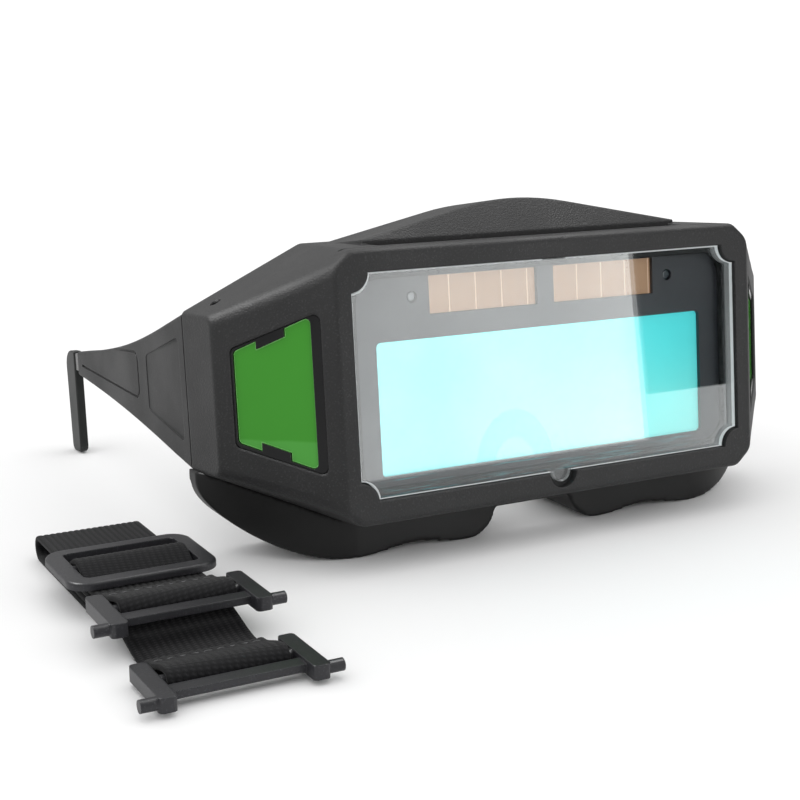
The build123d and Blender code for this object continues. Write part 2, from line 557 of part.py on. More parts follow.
with BuildPart() as temple:
    with BuildSketch(Plane.YZ.offset(OUTER_X)):
        with BuildLine():
            top = Spline(*ARM_TOP, tangents=ARM_TOP_WAYS)
            base = Spline(*ARM_BASE, tangents=ARM_BASE_WAYS)
            Line(top @ 0, base @ 0)
            Line(top @ 1, base @ 1)
        make_face()
    extrude(amount=7)
    # plan: the arm runs in slightly towards the ear and is a little thicker at the root
    with BuildSketch(Plane.XY.offset(-25)):
        polygon(
            (OUTER_X, TEMPLE_Y - 1), (OUTER_X, TAPER_Y), (INNER_END_X, TEMPLE_END_Y + 1),
            (INNER_END_X + TEMPLE_T, TEMPLE_END_Y + 1),
            (OUTER_X + TEMPLE_T, ROOT_END_Y), (OUTER_X + TEMPLE_T, TEMPLE_Y - 1),
        )
    extrude(amount=50, mode=Mode.INTERSECT)
    fillet(temple.faces().sort_by(Axis.X)[0].edges().filter_by(GeomType.BSPLINE), radius=1.0)
    # shallow panel near the hinge
    with BuildSketch(Plane.YZ.offset(OUTER_X - 1)):
        with BuildLine():
            FilletPolyline(*PANEL, radius=1.5, close=True)
        make_face()
    extrude(amount=1 + PANEL_DEPTH, mode=Mode.SUBTRACT)
    # fine groove round the long panel towards the ear, cut into the slanting outer face
    with BuildSketch(outer_face.offset(1)):
        with BuildLine():
            FilletPolyline(*GROOVE_PATH, radius=2.5)
        trace(line_width=GROOVE_W)
    extrude(amount=-1 - GROOVE_DEPTH, mode=Mode.SUBTRACT)
    # knuckle that reaches into the housing, with its two snap-in pins
    with BuildSketch(Plane.XY.offset(HINGE_Z - HINGE_SPAN / 2)):
        with Locations((-HINGE_X, HINGE_Y)):
            Circle(KNUCKLE_R)
        polygon(
            (-HINGE_X - KNUCKLE_R, HINGE_Y), (-HINGE_X + KNUCKLE_R, HINGE_Y),
            (-HINGE_X + KNUCKLE_R, TEMPLE_Y + 1), (OUTER_X + TEMPLE_T, SHOULDER_Y),
            (OUTER_X + SKIN_IN, SHOULDER_Y), (OUTER_X + SKIN_IN, TEMPLE_Y + 0.5),
            (-HINGE_X - KNUCKLE_R, TEMPLE_Y),
        )
    extrude(amount=HINGE_SPAN)
    with Locations((-HINGE_X, HINGE_Y, HINGE_Z)):
        Cylinder(PIN_R, PIN_SPAN)
    # the knuckle is lightened between its two ends
    with Locations((-HINGE_X, HINGE_Y + 1, HINGE_Z)):
        Box(2 * KNUCKLE_R + 1, KNUCKLE_CUT_W, HINGE_SPAN - KNUCKLE_CUT_H, mode=Mode.SUBTRACT)
    # channel for the sliding bar
    with Locations((BAR_X, (CHANNEL_Y + CHANNEL_END_Y) / 2, BAR_Z)):
        Box(BAR_T + 0.2, CHANNEL_END_Y - CHANNEL_Y, BAR_H + 0.2, mode=Mode.SUBTRACT)
finish_pair(temple.part, "temple")

with BuildPart() as temple_bar:
    with Locations((BAR_X, (BAR_Y + BAR_END_Y) / 2, BAR_Z)):
        Box(BAR_T, BAR_END_Y - BAR_Y, BAR_H)
    chamfer(temple_bar.edges().filter_by(Axis.Y), length=0.25)
finish_pair(temple_bar.part, "temple_bar")

with BuildPart() as ear_tip:
    with BuildSketch(Plane.YZ.offset(BAR_X - TIP_T / 2)):
        with BuildLine():
            FilletPolyline(
                (TIP_Y, TIP_TOP), (TIP_END_Y, TIP_TOP),
                (TIP_END_Y - 0.4, TIP_BOTTOM), (TIP_Y + 0.6, TIP_BOTTOM),
                radius=(0.6, 5.0, TIP_CORNER_R, TIP_CORNER_R), close=True,
            )
        make_face()
    extrude(amount=TIP_T)
    fillet(ear_tip.faces().sort_by(Axis.X)[0].edges(), radius=0.5)
    fillet(ear_tip.faces().sort_by(Axis.X)[-1].edges(), radius=0.5)
    with Locations((BAR_X, (TIP_Y - 1 + BAR_END_Y + GAP) / 2, BAR_Z)):
        Box(BAR_T, BAR_END_Y + GAP - TIP_Y + 1, BAR_H, mode=Mode.SUBTRACT)
finish_pair(ear_tip.part, "ear_tip")


# ---------------------------------------------------------------- headband
# Drawn on the ground, from the folded end at x = 0 to the clips' ends; the webbing's side view is
# in the XZ plane and its width runs along Y.
LAYERS = (0.70, 2.35, 4.00, 5.65)           # heights of the webbing's middle, layer by layer
FOLD_X, INNER_FOLD_X, OUTER_FOLD_X = 4.0, 15.0, 56.0
SLIDER_X, SLIDER_Z = 35.0, 7.45             # the slider's centre bar
SLIDER_L, SLIDER_W, SLIDER_T, SLIDER_BAR_R = 25.0, 34.0, 1.8, 0.95
CLIP_XS = (64.0, 91.0)
WRAP_R = CLIP_BAR_R + 0.08 + WEB_T / 2       # the webbing's middle, sewn round a clip's bar
CLIP_ZS = (LAYERS[3] + WRAP_R, LAYERS[0] + WRAP_R)
BIG_FOLD_R = (LAYERS[3] - LAYERS[0]) / 2
SMALL_FOLD_R = (LAYERS[1] - LAYERS[0]) / 2
SLIDER_REACH = 9.0              # where the webbing starts to rise over the slider's bar
SLIDER_OVER_Z = SLIDER_Z + SLIDER_BAR_R + 0.05 + WEB_T / 2
TAIL, TAIL_GAP = 11.0, 1.45     # length of a sewn-down end, and its height above the layer below
LEVEL, BACKWARDS = ((1, 0), (1, 0)), ((-1, 0), (-1, 0))

with BuildPart() as strap_webbing:
    with BuildSketch(Plane.XZ.offset(WEB_W / 2)):
        with BuildLine() as run:
            tail_1 = Spline(
                (CLIP_XS[0] - TAIL, LAYERS[3] + TAIL_GAP), (CLIP_XS[0], CLIP_ZS[0] + WRAP_R), tangents=LEVEL
            )
            wrap_1 = JernArc(start=tail_1 @ 1, tangent=(1, 0), radius=WRAP_R, arc_size=-180)
            top_front = Line(wrap_1 @ 1, (SLIDER_X + SLIDER_REACH, LAYERS[3]))
            rise = Spline(top_front @ 1, (SLIDER_X, SLIDER_OVER_Z), tangents=BACKWARDS)
            fall = Spline(rise @ 1, (SLIDER_X - SLIDER_REACH, LAYERS[3]), tangents=BACKWARDS)
            top_rear = Line(fall @ 1, (FOLD_X, LAYERS[3]))
            fold = JernArc(start=top_rear @ 1, tangent=(-1, 0), radius=BIG_FOLD_R, arc_size=180)
            ground = Line(fold @ 1, (OUTER_FOLD_X, LAYERS[0]))
            outer_fold = JernArc(start=ground @ 1, tangent=(1, 0), radius=SMALL_FOLD_R, arc_size=180)
            lower = Line(outer_fold @ 1, (INNER_FOLD_X, LAYERS[1]))
            inner_fold = JernArc(start=lower @ 1, tangent=(-1, 0), radius=SMALL_FOLD_R, arc_size=-180)
            upper = Line(inner_fold @ 1, (OUTER_FOLD_X + 4, LAYERS[2]))
            descent = Spline(upper @ 1, (CLIP_XS[1] - TAIL - 3, LAYERS[0]), tangents=LEVEL)
            run_out = Line(descent @ 1, (CLIP_XS[1], LAYERS[0]))
            wrap_2 = JernArc(start=run_out @ 1, tangent=(1, 0), radius=WRAP_R, arc_size=180)
            tail_2 = Spline(wrap_2 @ 1, (CLIP_XS[1] - TAIL, LAYERS[0] + TAIL_GAP), tangents=BACKWARDS)
        trace(line_width=WEB_T)
    extrude(amount=-WEB_W)
strap_webbing.part.label = "strap_webbing"
finish(strap_webbing.part, STRAP_REST)
WEBBING_LENGTH = sum(edge.length for edge in run.edges())
print("webbing length", round(WEBBING_LENGTH, 1), "mm")

with BuildPart() as strap_slider:
    with BuildSketch(Plane.XY.offset(SLIDER_Z - SLIDER_T / 2)):
        with Locations((SLIDER_X, 0)):
            RectangleRounded(SLIDER_L, SLIDER_W, 5)
            RectangleRounded(SLIDER_L - 7, WEB_W + 1.2, 1.5, mode=Mode.SUBTRACT)
    extrude(amount=SLIDER_T)
    fillet(strap_slider.faces().sort_by(Axis.Z)[-1].outer_wire().edges(), radius=0.7)
    with Locations(Location((SLIDER_X, 0, SLIDER_Z), (90, 0, 0))):
        Cylinder(SLIDER_BAR_R, WEB_W + 3)
strap_slider.part.label = "strap_slider"
finish(strap_slider.part, STRAP_REST)

CLIP_ARM_Y = (HINGE_SPAN - CLIP_ARM_W) / 2
CLIP_BACK, CLIP_REACH = 7.0, 11.0           # arm lengths behind and ahead of the bar
CROSS_X, CROSS_W, CROSS_T = 5.6, 3.6, 1.6   # flat cross bar ahead of the sewn one
for number, (clip_x, clip_z) in enumerate(zip(CLIP_XS, CLIP_ZS), start=1):
    with BuildPart() as strap_clip:
        with Locations((clip_x, CLIP_ARM_Y, clip_z), (clip_x, -CLIP_ARM_Y, clip_z)):
            with Locations(((CLIP_REACH - CLIP_BACK) / 2, 0, 0)):
                Box(CLIP_BACK + CLIP_REACH, CLIP_ARM_W, CLIP_ARM_T)
        fillet(strap_clip.edges().filter_by(Axis.Z), radius=1.0)
        with Locations(Location((clip_x, 0, clip_z), (90, 0, 0))):
            Cylinder(CLIP_BAR_R, HINGE_SPAN - CLIP_ARM_W)
        with Locations((clip_x + CROSS_X, 0, clip_z)):
            Box(CROSS_W, HINGE_SPAN - CLIP_ARM_W, CROSS_T)
        with Locations(Location((clip_x + CLIP_REACH - 2, 0, clip_z), (90, 0, 0))):
            with Locations((0, 0, PIN_SPAN / 2 - 2), (0, 0, -PIN_SPAN / 2 + 2)):
                Cylinder(CLIP_PIN_R, 4)
    strap_clip.part.label = f"strap_clip_{number}"
    finish(strap_clip.part, STRAP_REST)


# ---------------------------------------------------------------- origin and export
# the origin is the middle of the whole set's footprint, on the ground
WHOLE = Compound(FINISHED).bounding_box()
TO_ORIGIN = Location((-WHOLE.center().X, -WHOLE.center().Y, -WHOLE.min.Z))
for resting_piece in FINISHED:
    export_step(resting_piece.moved(TO_ORIGIN), f"parts/{resting_piece.label}.step")


def in_place(point, rest=GOGGLES_REST):
    """A point of the drawing, after its piece is laid in its resting place."""
    spot = (TO_ORIGIN * rest * Location(point)).position
    return [round(value, 4) for value in spot]


print("size", WHOLE.size, "tilt", round(TILT, 4))
print("hinges", in_place((-HINGE_X, HINGE_Y, HINGE_Z)), in_place((HINGE_X, HINGE_Y, HINGE_Z)))
print("clips", [in_place((x, 0, z), STRAP_REST) for x, z in zip(CLIP_XS, CLIP_ZS)])
print("lens centre", in_place((0, 0, 0)), "strap start", in_place((0, 0, 0), STRAP_REST))
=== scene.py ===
from math import atan2, cos, pi, radians, sin
import json
import bpy
import bmesh
from mathutils import Matrix, Vector


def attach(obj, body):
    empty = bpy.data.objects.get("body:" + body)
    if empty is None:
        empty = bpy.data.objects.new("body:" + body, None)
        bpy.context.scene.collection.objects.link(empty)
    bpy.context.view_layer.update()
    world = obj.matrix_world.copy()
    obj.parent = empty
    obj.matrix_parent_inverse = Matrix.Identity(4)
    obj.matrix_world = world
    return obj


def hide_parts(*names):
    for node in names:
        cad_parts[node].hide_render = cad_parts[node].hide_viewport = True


# Auto-darkening welding goggles with a headband beside them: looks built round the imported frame.
# Blender works in metres; the sizes below are in millimetres, turned into metres by MM, unless
# they say metres.

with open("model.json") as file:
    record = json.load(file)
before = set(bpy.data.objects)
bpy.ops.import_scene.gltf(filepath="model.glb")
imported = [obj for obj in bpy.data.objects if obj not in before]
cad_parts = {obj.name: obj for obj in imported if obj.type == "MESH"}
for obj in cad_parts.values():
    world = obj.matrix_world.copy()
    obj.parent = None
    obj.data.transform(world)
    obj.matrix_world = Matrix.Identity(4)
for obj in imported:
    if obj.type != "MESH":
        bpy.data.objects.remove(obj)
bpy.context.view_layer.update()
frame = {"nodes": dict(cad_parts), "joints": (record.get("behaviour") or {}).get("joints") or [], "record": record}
MM = 0.001

# ---------------------------------------------------------------- places taken from the frame
joints = {joint["name"]: joint for joint in frame["joints"]}
LEFT_HINGE = Vector((76.2, 28.5, -1.15)) * MM    # in the goggles' own frame, from the lens centre
CLIP_2_S, CLIP_2_Z = 91.0, 2.68                  # the headband's second clip, along it and above it

up = Vector(joints["temple_left_fold"]["axis"])
LEAN = atan2(up.y, up.z)                         # how far the goggles lean back at rest
lean_turn = Matrix.Rotation(-LEAN, 4, "X")
lens_centre = Vector(joints["temple_left_fold"]["pos_m"]) - lean_turn @ LEFT_HINGE
GOGGLES = Matrix.Translation(lens_centre) @ lean_turn
clip_2 = Vector(joints["clip_2_turn"]["pos_m"])
STRAP_START = clip_2 + Vector((0, CLIP_2_S, -CLIP_2_Z)) * MM


def worn(x, y, z):
    """A point in the goggles' own frame, in mm from the lens centre, as a point of the row frame."""
    return GOGGLES @ (Vector((x, y, z)) * MM)


def laid(s, w, z):
    """A point on the headband: s along it from its folded end, w across it, z up, in mm."""
    return STRAP_START + Vector((w, -s, z)) * MM


# ---------------------------------------------------------------- camera
CAMERA_PLACE = worn(-203.5, -301.0, 43.0)
CAMERA_AIM = worn(-35.0, 16.7, -6.2)
CAMERA_ROLL = radians(-0.2)
CAMERA_LENS, SENSOR_WIDTH = 67.5, 36.0           # both in mm, as Blender has them
NEAREST_SEEN = 10 * MM

camera_data = bpy.data.cameras.new("camera")
camera_data.lens = CAMERA_LENS
camera_data.sensor_width = SENSOR_WIDTH
camera_data.clip_start = NEAREST_SEEN
camera = bpy.data.objects.new("camera", camera_data)
bpy.context.scene.collection.objects.link(camera)
facing = (CAMERA_AIM - CAMERA_PLACE).to_track_quat("-Z", "Y").to_matrix().to_4x4()
camera.matrix_world = Matrix.Translation(CAMERA_PLACE) @ facing @ Matrix.Rotation(CAMERA_ROLL, 4, "Z")
bpy.context.scene.camera = camera
bpy.context.scene.view_settings.view_transform = "Standard"


# ---------------------------------------------------------------- material tools
BEVEL_SAMPLES = 4
FLAT, SHARP = 0.97, 0.80             # cosine between a face and its rounded normal: no edge, full edge
MIX_COLOURS, MIX_RESULT = (6, 7), 2  # sockets of a Mix node that mixes colours


class Paint:
    """A node material being built round its Principled shader."""

    def __init__(self, name, **sockets):
        """sockets are plain values of the shader's inputs, with underscores for the spaces."""
        self.material = bpy.data.materials.new(name)
        self.material.use_nodes = True
        self.tree = self.material.node_tree
        self.shader = self.tree.nodes["Principled BSDF"]
        for socket, value in sockets.items():
            self.shader.inputs[socket.replace("_", " ")].default_value = value

    def node(self, kind, inputs=None, **settings):
        """Add a node; an input is a plain value or another node's output."""
        made = self.tree.nodes.new(kind)
        for key, value in settings.items():
            setattr(made, key, value)
        for key, value in (inputs or {}).items():
            if isinstance(value, bpy.types.NodeSocket):
                self.tree.links.new(value, made.inputs[key])
            else:
                made.inputs[key].default_value = value
        return made

    def link(self, output, *sockets):
        """Feed an output into the shader's inputs."""
        for socket in sockets:
            self.tree.links.new(output, self.shader.inputs[socket])

    def place(self):
        """Position in the row frame, in metres."""
        return self.node("ShaderNodeTexCoord").outputs["Object"]

    def worn_place(self):
        """Position in the goggles' own frame, in mm, as outputs X, Y and Z."""
        turned = lean_turn.inverted() @ lens_centre
        mapping = self.node(
            "ShaderNodeMapping",
            {
                "Vector": self.place(),
                "Location": -turned / MM,
                "Rotation": (LEAN, 0, 0),
                "Scale": (1 / MM, 1 / MM, 1 / MM),
            },
        )
        return self.node("ShaderNodeSeparateXYZ", {"Vector": mapping.outputs["Vector"]}).outputs

    def math(self, operation, a, b=0.0):
        """What a Math node makes of plain values or other nodes' outputs."""
        return self.node("ShaderNodeMath", {0: a, 1: b}, operation=operation).outputs[0]

    def times(self, a, b):
        return self.math("MULTIPLY", a, b)

    def less(self, a, b):
        return self.math("SUBTRACT", a, b)

    def smooth(self, value, low, high, low_out=0.0, high_out=1.0):
        """A soft step from low_out to high_out as value goes from low to high."""
        made = self.node(
            "ShaderNodeMapRange",
            {"Value": value, "From Min": low, "From Max": high, "To Min": low_out, "To Max": high_out},
            interpolation_type="SMOOTHSTEP",
        )
        return made.outputs["Result"]

    def within(self, value, low, high, soft):
        """1 between low and high, falling to 0 over soft outside them."""
        rises = self.smooth(value, low - soft, low)
        falls = self.smooth(value, high, high + soft, 1.0, 0.0)
        return self.times(rises, falls)

    def noise(self, scale, detail=2.0, roughness=0.5, stretch=(1, 1, 1)):
        """Noise whose grain is about 1/scale metres."""
        mapping = self.node("ShaderNodeMapping", {"Vector": self.place(), "Scale": stretch})
        made = self.node(
            "ShaderNodeTexNoise",
            {"Vector": mapping.outputs["Vector"], "Scale": scale, "Detail": detail, "Roughness": roughness},
        )
        return made.outputs["Fac"]

    def cells(self, scale, distance):
        """Distance from the middle of small cells, 1/scale metres wide on each axis."""
        mapping = self.node("ShaderNodeMapping", {"Vector": self.place(), "Scale": scale})
        made = self.node("ShaderNodeTexVoronoi", {"Vector": mapping.outputs["Vector"]}, distance=distance)
        return made.outputs["Distance"]

    def blend(self, share, first, second):
        """A colour that goes from first to second as share goes from 0 to 1."""
        made = self.node("ShaderNodeMix", {"Factor": share}, data_type="RGBA")
        for index, value in zip(MIX_COLOURS, (first, second)):
            if isinstance(value, bpy.types.NodeSocket):
                self.tree.links.new(value, made.inputs[index])
            else:
                made.inputs[index].default_value = (*value, 1)
        return made.outputs[MIX_RESULT]

    def mottled_gloss(self, pattern, smoothest, roughest, low=0.2, high=0.8):
        """Roughness that follows a pattern whose values lie mostly between low and high."""
        self.link(self.smooth(pattern, low, high, smoothest, roughest), "Roughness")

    def mix_shaders(self, share, first, second):
        """Add a shader node that goes from first to second as share goes from 0 to 1."""
        made = self.node("ShaderNodeMixShader", {0: share})
        self.tree.links.new(first.outputs[0], made.inputs[1])
        self.tree.links.new(second.outputs[0], made.inputs[2])
        return made

    def round_normal(self, radius):
        """Normal that looks rounded at edges, radius in mm."""
        made = self.node("ShaderNodeBevel", {"Radius": radius * MM}, samples=BEVEL_SAMPLES)
        return made.outputs["Normal"]

    def edge(self, radius):
        """1 on sharp edges and 0 on flat faces."""
        normal = self.node("ShaderNodeNewGeometry").outputs["Normal"]
        made = self.node(
            "ShaderNodeVectorMath", {0: self.round_normal(radius), 1: normal}, operation="DOT_PRODUCT"
        )
        return self.smooth(made.outputs["Value"], FLAT, SHARP)

    def bump(self, height, depth, normal=None):
        """Normal of a surface raised by depth mm times height."""
        inputs = {"Height": height, "Distance": depth * MM}
        if normal is not None:
            inputs["Normal"] = normal
        return self.node("ShaderNodeBump", inputs).outputs["Normal"]


# ---------------------------------------------------------------- black plastics
GRAIN_SCALE, PATCH_SCALE = 2300, 45              # per metre: spark-eroded grain, and uneven patches
WELL_X, WELL_Z, WELL_Y = 53.4, 24.5, (1.7, 4.6)  # well between the cover lens and the cartridge
WELL_ROUGH = 0.12
# where the painted reflection of the filter lies on the black plastic, its colour, and how much of it shows
STREAK_X, STREAK_Y, STREAK_Z = (-46.0, 40.0), (1.4, 4.6), (-26.1, -22.7)
REFLECTED_CYAN, REFLECTION_SHARE = (0.03, 0.30, 0.33), 0.6
CRISP = 0.1                                      # mm over which the marks in the well fade out


def light_well(paint):
    """1 on the walls of the well between the cover lens and the cartridge."""
    x, y, z = (paint.worn_place()[axis] for axis in "XYZ")
    across = paint.times(paint.within(x, -WELL_X, WELL_X, CRISP), paint.within(z, -WELL_Z, WELL_Z, CRISP))
    return paint.times(across, paint.within(y, *WELL_Y, CRISP))


def painted_cyan_reflection(paint, colour):
    """Painted reflection: streaks of the filter's light mirrored on the black plastic just below it."""
    x, y, z = (paint.worn_place()[axis] for axis in "XYZ")
    below = paint.times(paint.within(z, *STREAK_Z, 0.25), paint.within(x, *STREAK_X, 6.0))
    below = paint.times(below, paint.within(y, *STREAK_Y, CRISP))
    streak = paint.smooth(paint.noise(55, 3.0, 0.65, (1, 1, 22)), 0.50, 0.66)
    return paint.blend(paint.times(paint.times(below, streak), REFLECTION_SHARE), colour, REFLECTED_CYAN)


def grained_plastic(name, colour, grain, edge_radius, rough=(0.50, 0.66), edge_wear_and_highlight=0.35, well=False):
    """Matte moulded plastic with a fine spark-eroded grain and slightly paler edges, partly wear and partly a
    painted highlight.

    grain and edge_radius are in mm. With well, the walls of the lens well are polished instead, and
    carry a painted reflection of the filter's light in streaks.
    """
    paint = Paint(name, Specular_IOR_Level=0.38)
    fine = paint.noise(GRAIN_SCALE, 2.0, 0.6)
    patches = paint.noise(PATCH_SCALE, 3.0)
    edge = paint.edge(edge_radius)
    darker, brighter = [c * 0.88 for c in colour], [c * 1.12 for c in colour]
    lighter = [c * 2.4 + 0.016 for c in colour]
    tone = paint.blend(paint.smooth(patches, 0.3, 0.7), darker, brighter)
    speck = paint.blend(paint.times(paint.smooth(fine, 0.55, 0.72), 0.5), tone, lighter)
    # paler edges: partly edge wear, partly a painted highlight along the rounded edges
    tone = paint.blend(paint.times(edge, edge_wear_and_highlight), speck, lighter)
    dull = paint.smooth(patches, 0.25, 0.75, *rough)
    dull = paint.less(dull, paint.times(edge, 0.10))
    height = fine
    if well:
        # painted reflection of the filter's light on the plastic below it
        tone = painted_cyan_reflection(paint, tone)
        share = light_well(paint)
        dull = paint.less(dull, paint.times(share, rough[0] - WELL_ROUGH))
        height = paint.times(fine, paint.less(1.0, share))
    paint.link(tone, "Base Color")
    paint.link(dull, "Roughness")
    paint.link(paint.bump(height, grain, paint.round_normal(edge_radius)), "Normal")
    return paint.material


def satin_black():
    """Cartridge and retainer: smoother plastic with a faint flow pattern."""
    paint = Paint("cartridge_black", Specular_IOR_Level=0.45)
    flow = paint.noise(60, 4.0, 0.6, (1, 1, 3))
    fine = paint.noise(3200, 2.0)
    tone = paint.blend(flow, (0.036, 0.036, 0.044), (0.056, 0.056, 0.066))
    # painted reflection of the filter's light on the cartridge just below it
    paint.link(painted_cyan_reflection(paint, tone), "Base Color")
    paint.mottled_gloss(flow, 0.34, 0.48)
    paint.link(paint.bump(fine, 0.012, paint.round_normal(0.3)), "Normal")
    return paint.material


def gloss_black():
    """Polished frames of the side windows, with a painted highlight on their edges."""
    edge_radius = 0.25
    paint = Paint("gloss_black", Specular_IOR_Level=0.25)
    cloud = paint.noise(120, 3.0)
    # paler edges: a painted highlight along the frames' edges
    tone = paint.blend(paint.edge(edge_radius), (0.0015, 0.0015, 0.002), (0.05, 0.05, 0.05))
    paint.link(tone, "Base Color")
    paint.mottled_gloss(cloud, 0.10, 0.22)
    paint.link(paint.bump(cloud, 0.01, paint.round_normal(edge_radius)), "Normal")
    return paint.material


# ---------------------------------------------------------------- lens, filter and electronics
LENS_IOR, LENS_ROUGH, LENS_HAZE = 1.49, 0.015, 0.01
CUT_EDGE, CUT_EDGE_IN_SHADE = 0.85, 0.15         # how opaque the lens's cut edges look with their painted glow, and where they are in painted shade
THUMB_NOTCH = 3.2                                # half width of the notch in the lens's lower edge, mm
ARCH_X, ARCH_Z, ARCH_W, ARCH_H = -10.0, -26.0, 11.5, 16.0    # middle of the arch, half width, height
CELL_EDGE, CELL_PITCH = 2.4, 7.3     # inner end of a solar cell, and the spacing of its printed lines


def clear_lens():
    """Thin clear polycarbonate: it mirrors by angle, and its cut edges carry a painted glow."""
    # the pale emission here is a painted glow that only the cut edges show
    paint = Paint("clear_lens", Roughness=0.12, Emission_Strength=0.30)
    paint.shader.inputs["Base Color"].default_value = (0.7, 0.72, 0.73, 1)
    paint.shader.inputs["Emission Color"].default_value = (0.9, 0.95, 0.96, 1)
    smear = paint.smooth(paint.noise(30, 4.0, 0.6), 0.35, 0.75, 0.0, LENS_HAZE)
    clear = paint.node("ShaderNodeBsdfTransparent", {"Color": (0.97, 0.99, 0.99, 1)})
    mirror = paint.node("ShaderNodeBsdfGlossy", {"Color": (1, 1, 1, 1), "Roughness": LENS_ROUGH})
    fresnel = paint.node("ShaderNodeFresnel", {"IOR": LENS_IOR})
    sheet = paint.mix_shaders(paint.math("ADD", fresnel.outputs[0], smear), clear, mirror)
    # the cut edge and its chamfer face sideways in the goggles' own frame
    turned = paint.node(
        "ShaderNodeMapping",
        {"Vector": paint.node("ShaderNodeNewGeometry").outputs["True Normal"], "Rotation": (LEAN, 0, 0)},
        vector_type="POINT",
    )
    normal = paint.node("ShaderNodeSeparateXYZ", {"Vector": turned.outputs["Vector"]}).outputs
    cut = paint.smooth(paint.math("ABSOLUTE", normal["Y"]), 0.95, 0.80)
    # painted shade: the edge at the wearer's left and the one in the thumb notch show little of the painted glow
    notch = paint.within(paint.worn_place()["X"], -THUMB_NOTCH, THUMB_NOTCH, 0.3)
    shade = paint.math("MAXIMUM", paint.smooth(normal["X"], 0.2, 0.7), notch)
    painted_edge_glow_share = paint.less(CUT_EDGE, paint.times(shade, CUT_EDGE - CUT_EDGE_IN_SHADE))
    whole = paint.mix_shaders(paint.times(cut, painted_edge_glow_share), sheet, paint.shader)
    output = paint.tree.nodes["Material Output"]
    paint.tree.links.new(whole.outputs[0], output.inputs["Surface"])
    return paint.material


def filter_cyan():
    """Interference-coated filter: bright cyan, deeper towards the wearer's left, in soft clouds, with a painted
    glow.
    """
    paint = Paint(
        "filter_cyan",
        Roughness=0.10,
        Specular_IOR_Level=0.5,
        Coat_Weight=0.6,
        Coat_Roughness=0.03,
        Emission_Strength=0.40,
    )
    x, y, z = (paint.worn_place()[axis] for axis in "XYZ")
    cloud = paint.noise(26, 3.0, 0.5)
    paler = paint.blend(paint.smooth(cloud, 0.30, 0.70), (0.17, 0.84, 0.84), (0.30, 0.88, 0.90))
    deeper = paint.blend(paint.smooth(z, -20.0, 8.0), (0.24, 0.90, 0.86), (0.12, 0.84, 0.86))
    colour = paint.blend(paint.smooth(x, -46.0, 46.0), paler, deeper)
    # faint arch of the nose piece seen through the glass, painted into the filter's colour
    arch_x = paint.math("DIVIDE", paint.less(x, ARCH_X), ARCH_W)
    arch_z = paint.math("DIVIDE", paint.less(z, ARCH_Z), ARCH_H)
    reach = paint.math("ADD", paint.math("POWER", arch_x, 2.0), paint.math("POWER", arch_z, 2.0))
    arch = paint.within(reach, 0.35, 0.95, 0.08)
    colour = paint.blend(paint.times(arch, 0.55), colour, (0.07, 0.66, 0.72))
    # the colour also feeds the emission: a painted glow
    paint.link(colour, "Base Color", "Emission Color")
    return paint.material


def lcd_glass():
    """Dark liquid-crystal cell with its faint rubbed alignment lines."""
    paint = Paint("lcd_glass", Roughness=0.08, Coat_Weight=0.5)
    lines = paint.noise(900, 2.0, 0.5, (1, 1, 0.02))
    paint.link(paint.blend(lines, (0.035, 0.10, 0.075), (0.05, 0.14, 0.10)), "Base Color")
    paint.link(paint.bump(lines, 0.002), "Normal")
    return paint.material


def solar_cell():
    """Copper-brown amorphous cell with fine pale lines between its strips, and a painted glow."""
    paint = Paint("solar_cell", Specular_IOR_Level=0.35, Emission_Strength=0.45)
    x = paint.worn_place()["X"]
    strip = paint.math("FRACT", paint.math("DIVIDE", paint.less(x, CELL_EDGE), CELL_PITCH))
    line = paint.within(strip, 0.035, 0.055, 0.02)
    fine = paint.noise(500, 2.0, 0.5, (1, 1, 0.04))
    tone = paint.blend(fine, (0.34, 0.19, 0.105), (0.40, 0.235, 0.135))
    colour = paint.blend(paint.times(line, 0.8), tone, (0.72, 0.52, 0.38))
    # the colour also feeds the emission: a painted glow
    paint.link(colour, "Base Color", "Emission Color")
    paint.mottled_gloss(fine, 0.28, 0.4)
    return paint.material


def sensor():
    """Small dark epoxy dome, faintly mottled."""
    paint = Paint("sensor", Coat_Weight=0.8, Coat_Roughness=0.05)
    cloud = paint.noise(900, 2.0)
    paint.link(paint.blend(cloud, (0.02, 0.024, 0.03), (0.07, 0.09, 0.10)), "Base Color")
    paint.mottled_gloss(cloud, 0.12, 0.25)
    return paint.material


def circuit_board():
    """Green solder mask over a faint pattern of tracks."""
    paint = Paint("circuit_board", Roughness=0.35, Coat_Weight=0.3)
    share = paint.smooth(paint.cells((300, 300, 600), "CHEBYCHEV"), 0.35, 0.40)
    paint.link(paint.blend(share, (0.01, 0.10, 0.035), (0.02, 0.17, 0.06)), "Base Color")
    return paint.material


def battery_steel():
    """Brushed stainless coin cell."""
    paint = Paint("battery_steel", Metallic=1.0)
    brushed = paint.noise(700, 4.0, 0.6, (1, 1, 0.05))
    paint.link(paint.blend(brushed, (0.55, 0.55, 0.56), (0.75, 0.75, 0.76)), "Base Color")
    paint.mottled_gloss(brushed, 0.22, 0.42)
    return paint.material


